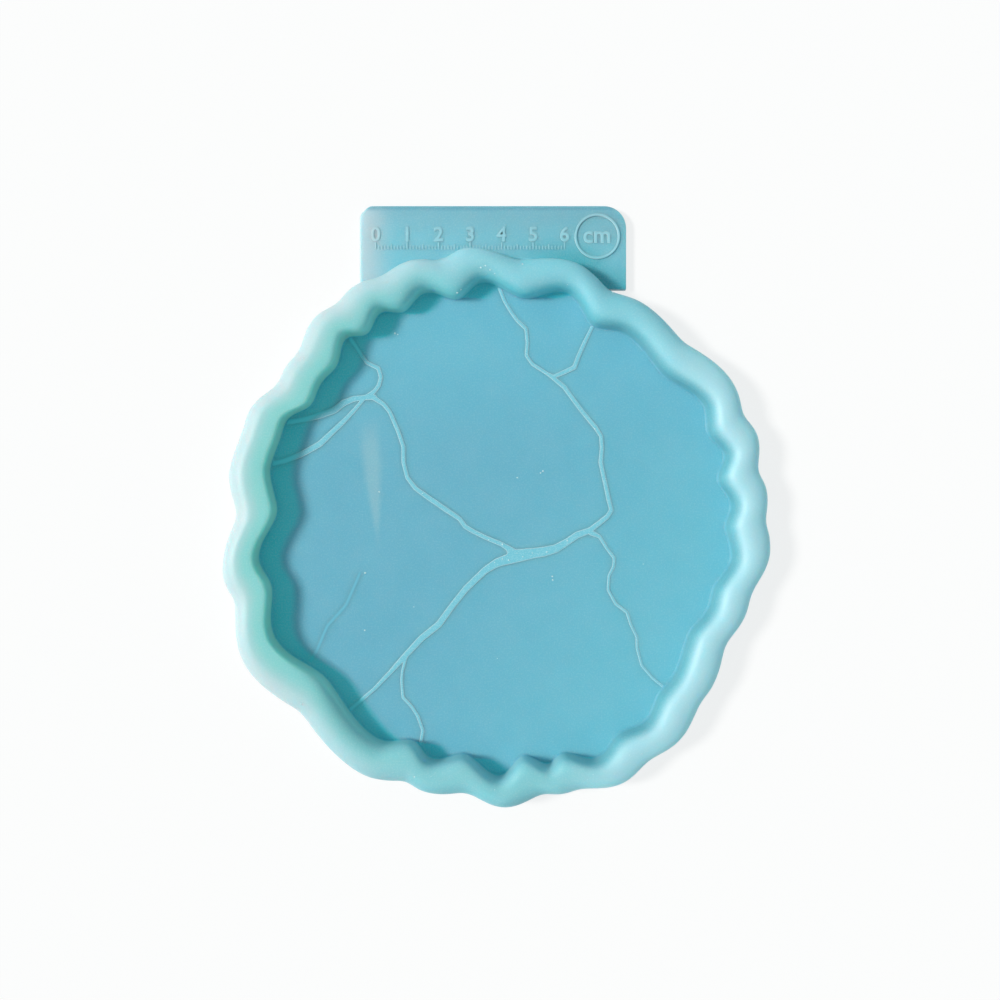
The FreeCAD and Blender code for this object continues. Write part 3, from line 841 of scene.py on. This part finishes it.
def casting_rings(sizes):
    """Radius and height of each ring, from the floor's middle to the underside's."""
    foot, inner, outer = casting_outlines()
    roundness = inner_roundness(sizes)
    quarter = np.pi / 2

    rings = [((foot - sizes.foot_round) * share, FLOOR_TOP) for share in FLOOR_RING_SHARES]
    for step in range(sizes.foot_steps + 1):
        lean = quarter * step / sizes.foot_steps
        rings.append((
            foot - sizes.foot_round * (1 - math.sin(lean)),
            FLOOR_TOP + sizes.foot_round * (1 - math.cos(lean))))
    for step in range(1, sizes.wall_steps):
        share = step / sizes.wall_steps
        height = FLOOR_TOP + sizes.foot_round
        rings.append((foot + (inner - foot) * share, height + (RIM_FOOT - height) * share))
    for step in range(sizes.rim_steps + 1):
        across, up = rim_section(step / sizes.rim_steps, roundness)
        rings.append((inner + (outer - inner) * across, RIM_FOOT + (RIM_TOP - RIM_FOOT) * up))
    for step in range(1, sizes.wall_steps):
        share = step / sizes.wall_steps
        rings.append((outer, RIM_FOOT + (sizes.edge_round - RIM_FOOT) * share))
    for step in range(sizes.edge_steps + 1):
        lean = quarter * step / sizes.edge_steps
        rings.append((
            outer - sizes.edge_round * (1 - math.cos(lean)),
            sizes.edge_round * (1 - math.sin(lean))))
    rings += [((outer - sizes.edge_round) * share, 0) for share in UNDERSIDE_RING_SHARES]
    return rings


def place_ring(mesh, column_of, headings, radii, height):
    """Move the selected ring of points to its radii and its height or heights."""
    heights = np.broadcast_to(height, len(radii))
    for corner in mesh.verts:
        if corner.select:
            column = corner[column_of]
            x, y = headings[column] * radii[column]
            corner.co = (x, y, heights[column])


def close_ring():
    """Draw the selected ring together to one point in its middle."""
    bpy.ops.mesh.extrude_edges_move()
    bpy.ops.mesh.merge(type="CENTER")


def make_tray(sizes):
    """Extrude a ring over the whole section, and close it at both ends."""
    bpy.ops.mesh.primitive_circle_add(vertices=sizes.columns, radius=1, fill_type="NOTHING")
    tray = new_piece("casting")
    mesh = edit(tray)
    column_of = mesh.verts.layers.int.new("column")
    for column, corner in enumerate(mesh.verts):
        corner[column_of] = column
    headings = directions(sizes.columns)
    rings = casting_rings(sizes)
    place_ring(mesh, column_of, headings, *rings[0])
    for radii, height in rings[1:]:
        bpy.ops.mesh.extrude_edges_move()
        mesh = bmesh.from_edit_mesh(tray.data)
        column_of = mesh.verts.layers.int["column"]
        place_ring(mesh, column_of, headings, radii, height)
    close_ring()
    bpy.ops.mesh.select_all(action="DESELECT")
    bpy.ops.mesh.select_non_manifold()
    close_ring()
    bpy.ops.mesh.select_all(action="SELECT")
    bpy.ops.mesh.normals_make_consistent(inside=False)
    leave_edit()
    tray.data.attributes.remove(tray.data.attributes["column"])
    return tray


def make_tab_blank(sizes):
    """Flat tab with a round and a slanted corner, reaching into the wall."""
    low, high = TAB_LOW, TAB_HIGH
    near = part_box("base_slab")[1].y - sizes.tab_root
    size = Vector((high.x - low.x, high.y - near, high.z))
    middle = Vector(((high.x + low.x) / 2, (high.y + near) / 2, high.z / 2))
    bpy.ops.mesh.primitive_cube_add(size=1, location=middle, scale=size)
    tab = new_piece("tab_blank")
    apply_place(tab)
    edit(tab)

    def upright(a, b):
        return abs(a.z - b.z) > HAIR

    def corner_at(x):
        return lambda a, b: (
            upright(a, b) and max(abs(a.x - x), abs(b.x - x)) < HAIR
            and min(a.y, b.y) > high.y - HAIR)

    def by_cut(a, b):
        return upright(a, b) and min(a.y, b.y) > near + HAIR and (
            max(a.x, b.x) < low.x + sizes.tab_left_cut + HAIR)

    def flat(a, b):
        return abs(a.z - b.z) < HAIR and max(a.y, b.y) > near + HAIR

    bevel(tab, corner_at(high.x), sizes.tab_right_round, sizes.corner_steps)
    bevel(tab, corner_at(low.x), sizes.tab_left_cut, 1)
    bevel(tab, by_cut, sizes.tab_cut_round, sizes.cut_steps)
    bevel(tab, flat, sizes.tab_edge_round, sizes.tab_edge_steps)
    leave_edit()
    return tab


def store(piece, name, values):
    """Keep one number for each point with the mesh, for its finish to read."""
    attribute = piece.data.attributes.new(name, "FLOAT", "POINT")
    attribute.data.foreach_set("value", np.asarray(values, dtype=np.float32))


def mark_places(piece):
    """Store where each point lies, across the wall and off it, and how steep it is there."""
    look = bpy.context.scene.mould_finish
    columns = bpy.context.scene.mould_casting.columns
    light_side = bpy.context.scene.mould_studio.key_azimuth
    _, inner, outer = casting_outlines()
    places = np.empty(len(piece.data.vertices) * 3, dtype=np.float32)
    piece.data.vertices.foreach_get("co", places)
    x, y, _ = places.reshape(-1, 3).T
    column = column_at(x, y, columns)
    radius = np.hypot(x, y)
    store(piece, "across", (radius - inner[column]) / (outer[column] - inner[column]))
    store(piece, "beyond_wall", radius - outer[column])
    # Distance off the wall looking towards the key light, which places the painted shade by the
    # wall.
    off_wall = np.zeros(len(x))
    for travel in np.arange(0, look.lee_reach, look.lee_step):
        there_x = x + travel * math.cos(light_side)
        there_y = y + travel * math.sin(light_side)
        edge = inner[column_at(there_x, there_y, columns)]
        off_wall += look.lee_step * (np.hypot(there_x, there_y) < edge)
    store(piece, "off_wall", off_wall)
    piece.data.vertices.foreach_get("normal", places)
    store(piece, "steep", 1 - np.abs(places.reshape(-1, 3)[:, 2]))


class MOULD_OT_casting(bpy.types.Operator):
    """Model the floor, wavy wall, rolled rim and label tab in one casting"""
    bl_idname = "mould.casting"
    bl_label = "Casting"

    def execute(self, context):
        sizes = context.scene.mould_casting
        tray = make_tray(sizes)
        tab = make_tab_blank(sizes)
        apply_modifier(tray, "BOOLEAN", operation="UNION", solver="EXACT", object=tab)
        bpy.data.objects.remove(tab)
        settle(tray, silicone(),
               ("base_slab", "side_wall", "rim_roll", "label_tab"))
        return {"FINISHED"}


def widen_left(lines, sizes):
    """Push the crack lines' flanks further out where the lines run to the left."""
    corners = lines.data.vertices
    ways_out = [corner.normal.copy() for corner in corners]
    for corner, way_out in zip(corners, ways_out):
        share = (sizes.left_start - corner.co.x) / (sizes.left_start - sizes.left_full)
        push = sizes.widened_left * min(max(share, 0), 1)
        corner.co.x += way_out.x * push
        corner.co.y += way_out.y * push


def flatten(piece, level, share):
    """Keep only a share of what stands over a level."""
    for corner in piece.data.vertices:
        if corner.co.z > level:
            corner.co.z = level + (corner.co.z - level) * share


def draw_faint_line(sizes):
    """The shallow crack line at the lower left, which the frame leaves out."""
    depth = sizes.faint_radius - sizes.faint_shown
    x, y = FAINT_LINE_SHARES[0]
    start = (x * REACH, y * REACH, FLOOR_TOP - depth)
    bpy.ops.mesh.primitive_plane_add(size=1, location=start)
    line = new_piece("faint_crack_line")
    apply_place(line)
    edit(line)
    bpy.ops.mesh.merge(type="CENTER")
    for next_x, next_y in FAINT_LINE_SHARES[1:]:
        bpy.ops.mesh.extrude_region_move(TRANSFORM_OT_translate={
            "value": ((next_x - x) * REACH, (next_y - y) * REACH, 0)})
        x, y = next_x, next_y
    leave_edit()
    activate(line)
    bpy.ops.object.convert(target="CURVE")
    line = new_piece("faint_crack_line")
    line.data.bevel_depth = sizes.faint_radius
    line.data.bevel_resolution = sizes.faint_steps
    line.data.use_fill_caps = True
    bpy.ops.object.convert(target="MESH")
    line = new_piece("faint_crack_line")
    flatten(line, FLOOR_TOP, sizes.faint_share)
    return line


class MOULD_OT_crack_lines(bpy.types.Operator):
    """Remake the crack lines on the floor as one soft-edged web"""
    bl_idname = "mould.crack_lines"
    bl_label = "Crack Lines"

    def execute(self, context):
        sizes = context.scene.mould_ridges
        names = sorted(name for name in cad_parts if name.startswith("ridge_"))
        copies = []
        for name in names:
            copy = bpy.data.objects.new("crack_lines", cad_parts[name].data.copy())
            context.scene.collection.objects.link(copy)
            copies.append(copy)
        lines = join_pieces("crack_lines", copies)
        edit(lines)
        bpy.ops.mesh.remove_doubles(threshold=sizes.merged)
        leave_edit()
        for corner in lines.data.vertices:
            if corner.co.z < FLOOR_TOP + HAIR:
                corner.co.z = FLOOR_TOP - sizes.root
        apply_modifier(lines, "REMESH", mode="VOXEL", voxel_size=sizes.grain)
        apply_modifier(
            lines, "SMOOTH", factor=sizes.soften_share, iterations=sizes.soften_passes)
        apply_modifier(lines, "DISPLACE", strength=sizes.widened, mid_level=0)
        widen_left(lines, sizes)
        flatten(lines, FLOOR_TOP, sizes.low_share)
        settle(lines, line_finish("matte_silicone"), names)
        faint = line_finish("faint_silicone", context.scene.mould_finish.faint_strength)
        settle(draw_faint_line(sizes), faint)
        return {"FINISHED"}


class MOULD_OT_tab_ring(bpy.types.Operator):
    """Model the raised ring on the tab"""
    bl_idname = "mould.tab_ring"
    bl_label = "Tab Ring"

    def execute(self, context):
        sizes = context.scene.mould_marks
        middle = (RING_LOW + RING_HIGH) / 2
        radius = (RING_HIGH.x - RING_LOW.x) / 2
        hit, place, _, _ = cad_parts["tab_ring"].ray_cast(middle, Vector((1, 0, 0)))
        if not hit:
            raise RuntimeError("the frame's ring has no inner side")
        band = radius - (place.x - middle.x)
        foot = Vector((middle.x, middle.y, RING_LOW.z - sizes.sunk))
        height = RING_HIGH.z - foot.z
        bpy.ops.mesh.primitive_circle_add(
            vertices=sizes.ring_sides, radius=radius, fill_type="NGON", location=foot)
        ring = new_piece("tab_ring_band")
        edit(ring)
        bpy.ops.mesh.inset(thickness=band)
        bpy.ops.mesh.delete(type="FACE")
        bpy.ops.mesh.select_all(action="SELECT")
        bpy.ops.mesh.extrude_region_move(TRANSFORM_OT_translate={"value": (0, 0, height)})
        bpy.ops.mesh.select_all(action="SELECT")
        bpy.ops.mesh.normals_make_consistent(inside=False)

        def round_top(a, b):
            level = abs(a.xy.length - b.xy.length) < band / 4
            return level and min(a.z, b.z) > height - HAIR

        bevel(ring, round_top, sizes.edge_round, sizes.edge_steps)
        leave_edit()
        settle(ring, raised_silicone(), ("tab_ring",))
        return {"FINISHED"}


def raise_text(name, words, size, place, sizes):
    """Raised characters centred on a place on the tab's top."""
    bpy.ops.object.text_add()
    text = bpy.context.view_layer.objects.active
    text.data.body = words
    text.data.size = size
    text.data.align_x = "CENTER"
    text.data.align_y = "BOTTOM_BASELINE"
    text.data.extrude = (sizes.raised + sizes.sunk) / 2 - sizes.edge_round
    text.data.bevel_depth = sizes.edge_round
    text.data.bevel_resolution = 1
    text.data.offset = sizes.weight
    activate(text)
    bpy.ops.object.convert(target="MESH")
    piece = new_piece(name)
    piece.location = (place.x, place.y, place.z + (sizes.raised - sizes.sunk) / 2)
    apply_place(piece)
    edit(piece)
    bpy.ops.mesh.remove_doubles(threshold=sizes.merged)
    bpy.ops.mesh.normals_make_consistent(inside=False)
    leave_edit()
    return piece


class MOULD_OT_tab_scale(bpy.types.Operator):
    """Model the raised scale on the tab: ticks, with a number at each tenth"""
    bl_idname = "mould.tab_scale"
    bl_label = "Tab Scale"

    def execute(self, context):
        sizes = context.scene.mould_marks
        top = TAB_HIGH.z
        height = sizes.raised + sizes.sunk
        lengths = {0: sizes.tick_long, 5: sizes.tick_half}
        ticks = edit_empty_piece("tab_scale_ticks")
        for division in range(sizes.divisions + 1):
            reach = lengths.get(division % 10, sizes.tick_short)
            bpy.ops.mesh.primitive_cube_add(
                size=1,
                location=(
                    sizes.scale_start + division * sizes.division,
                    sizes.scale_line + reach / 2,
                    top - sizes.sunk + height / 2),
                scale=(sizes.tick_width, reach, height))
        ceiling = top + sizes.raised - HAIR
        bevel(ticks, lambda a, b: min(a.z, b.z) > ceiling, sizes.tick_round, sizes.tick_steps)
        leave_edit()

        numbers = []
        for division in range(0, sizes.divisions + 1, 10):
            place = Vector((
                sizes.scale_start + division * sizes.division,
                sizes.scale_line + sizes.tick_long + sizes.number_gap,
                top))
            numbers.append(raise_text(
                f"number_{division}", str(division // 10), sizes.number_size, place, sizes))

        middle = (RING_LOW + RING_HIGH) / 2
        place = Vector((middle.x, middle.y - sizes.unit_size * sizes.unit_drop, top))
        unit = raise_text("tab_scale_unit", "cm", sizes.unit_size, place, sizes)
        for piece in (ticks, join_pieces("tab_scale_numbers", numbers), unit):
            settle(piece, raised_silicone())
        return {"FINISHED"}


def make_beads(name, places):
    """Small round beads at places, each a centre and a radius, in one piece."""
    beads = edit_empty_piece(name)
    for centre, radius in places:
        bpy.ops.mesh.primitive_ico_sphere_add(subdivisions=2, radius=radius, location=centre)
    leave_edit()
    return beads


class MOULD_OT_bubbles(bpy.types.Operator):
    """Set small bubbles and grit in the floor, the crack lines and the rim"""
    bl_idname = "mould.bubbles"
    bl_label = "Bubbles and Grit"

    def execute(self, context):
        sizes = context.scene.mould_bubbles
        casting = context.scene.mould_casting
        _, inner, outer = casting_outlines()
        line_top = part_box("ridge_centre")[1].z
        mean = inner.mean()

        def on_level(rows, level, largest):
            for x, y, share in rows:
                radius = largest * share
                yield (x * mean, y * mean, level - radius * (1 - sizes.shown)), radius

        def on_rim(rows, largest):
            for degrees, across, share in rows:
                radius = largest * share
                column = round(degrees / 360 * casting.columns) % casting.columns
                x, y = directions(casting.columns)[column] * (
                    inner[column] + (outer[column] - inner[column]) * across)
                power = 2 / inner_roundness(casting)[column] if across < 0.5 else 2
                up = (1 - abs(1 - 2 * across) ** power) ** (1 / power)
                height = RIM_FOOT + (RIM_TOP - RIM_FOOT) * up - radius * (1 - sizes.shown)
                yield (x, y, min(height, RIM_TOP - radius)), radius

        for name, places in (
                ("floor_bubbles", on_level(FLOOR_BUBBLE_SHARES, FLOOR_TOP, sizes.bubble)),
                ("crack_line_grit", on_level(RIDGE_GRIT_SHARES, line_top, sizes.grit)),
                ("rim_bubbles", on_rim(RIM_BUBBLE_SHARES, sizes.rim_bubble))):
            settle(make_beads(name, places), bubble_silicone())
        return {"FINISHED"}


def stage_finish(studio):
    """Pale floor, mostly plain white to the camera, that keeps a soft shadow."""
    finish = Finish("studio_floor")
    finish.surface(
        Base_Color=[studio.floor_white] * 3, Roughness=studio.floor_rough,
        Specular_IOR_Level=0)
    lit = Value(finish, finish.shader.outputs[0])
    white = finish.node("ShaderNodeEmission", values={"Color": WHITE, "Strength": 1})
    seen, mirrored, through = (
        finish.node("ShaderNodeLightPath", output=f"Is {way} Ray")
        for way in ("Camera", "Glossy", "Transmission"))
    shown = finish.maths("MINIMUM", seen + mirrored + through, 1) * studio.floor_veil
    veiled = finish.node("ShaderNodeMixShader", values={0: shown, 1: lit, 2: white})
    finish.feed(finish.tree.nodes["Material Output"].inputs["Surface"], veiled)
    return finish.material


def light_world(studio):
    """Even light from all around, plain white where the camera sees it."""
    world = bpy.data.worlds.new("studio_world")
    bpy.context.scene.world = world
    sky = Nodes(world)
    light = sky.tree.nodes["Background"].inputs
    seen = sky.node("ShaderNodeLightPath", output="Is Camera Ray")
    sky.feed(light["Strength"], sky.node(
        "ShaderNodeMapRange", values={"Value": seen, "To Min": studio.ambient}))
    sky.feed(light["Color"], sky.layers(studio.sky_tint, (WHITE, seen)))


class MOULD_OT_stage(bpy.types.Operator):
    """Set up the floor, the light and the camera"""
    bl_idname = "mould.stage"
    bl_label = "Stage"

    def execute(self, context):
        studio = context.scene.mould_studio
        bpy.ops.mesh.primitive_plane_add(
            size=studio.floor_size, location=(0, 0, -studio.floor_drop))
        floor = new_piece("studio_floor")
        floor.data.materials.append(stage_finish(studio))
        light_world(studio)

        level = math.cos(studio.key_elevation)
        towards = Vector((
            math.cos(studio.key_azimuth) * level,
            math.sin(studio.key_azimuth) * level,
            math.sin(studio.key_elevation)))
        bpy.ops.object.light_add(
            type="SUN", location=towards, rotation=towards.to_track_quat("Z", "Y").to_euler())
        key = context.view_layer.objects.active
        key.name = "key_light"
        key.data.energy = studio.key_strength
        key.data.angle = studio.key_softness
        key.data.color = studio.key_tint

        bpy.ops.object.camera_add(
            location=(studio.camera_x, studio.camera_y, studio.camera_height),
            rotation=(0, 0, 0))
        camera = context.view_layer.objects.active
        camera.data.lens = studio.lens
        camera.data.clip_start = studio.camera_near
        context.scene.camera = camera
        context.scene.view_settings.view_transform = "Standard"
        return {"FINISHED"}


class MOULD_PT_panel(bpy.types.Panel):
    """Steps that build the mould, in order"""
    bl_label = "Casting Mould"
    bl_idname = "MOULD_PT_panel"
    bl_space_type = "VIEW_3D"
    bl_region_type = "UI"
    bl_category = "Casting Mould"

    def draw(self, context):
        for step in STEPS:
            self.layout.operator(step.bl_idname)
        for name, group in GROUPS.items():
            box = self.layout.box()
            for setting in group.__annotations__:
                box.prop(getattr(context.scene, name), setting)


STEPS = (
    MOULD_OT_casting,
    MOULD_OT_crack_lines,
    MOULD_OT_tab_ring,
    MOULD_OT_tab_scale,
    MOULD_OT_bubbles,
    MOULD_OT_stage,
)

GROUPS = {
    "mould_casting": CastingSizes,
    "mould_ridges": RidgeSizes,
    "mould_marks": MarkSizes,
    "mould_bubbles": BubbleSizes,
    "mould_colours": FinishColours,
    "mould_finish": FinishSizes,
    "mould_studio": StudioSettings,
}


def register():
    for group in GROUPS.values():
        bpy.utils.register_class(group)
    for name, group in GROUPS.items():
        setattr(bpy.types.Scene, name, bpy.props.PointerProperty(type=group))
    for step in STEPS:
        bpy.utils.register_class(step)
    bpy.utils.register_class(MOULD_PT_panel)


def unregister():
    bpy.utils.unregister_class(MOULD_PT_panel)
    for step in reversed(STEPS):
        bpy.utils.unregister_class(step)
    for name in GROUPS:
        delattr(bpy.types.Scene, name)
    for group in GROUPS.values():
        bpy.utils.unregister_class(group)


def main():
    """Build the whole mould."""
    register()
    deselect_all()
    bpy.ops.mould.casting()
    bpy.ops.mould.crack_lines()
    bpy.ops.mould.tab_ring()
    bpy.ops.mould.tab_scale()
    bpy.ops.mould.bubbles()
    bpy.ops.mould.stage()


if __name__ == "__main__":
    main()
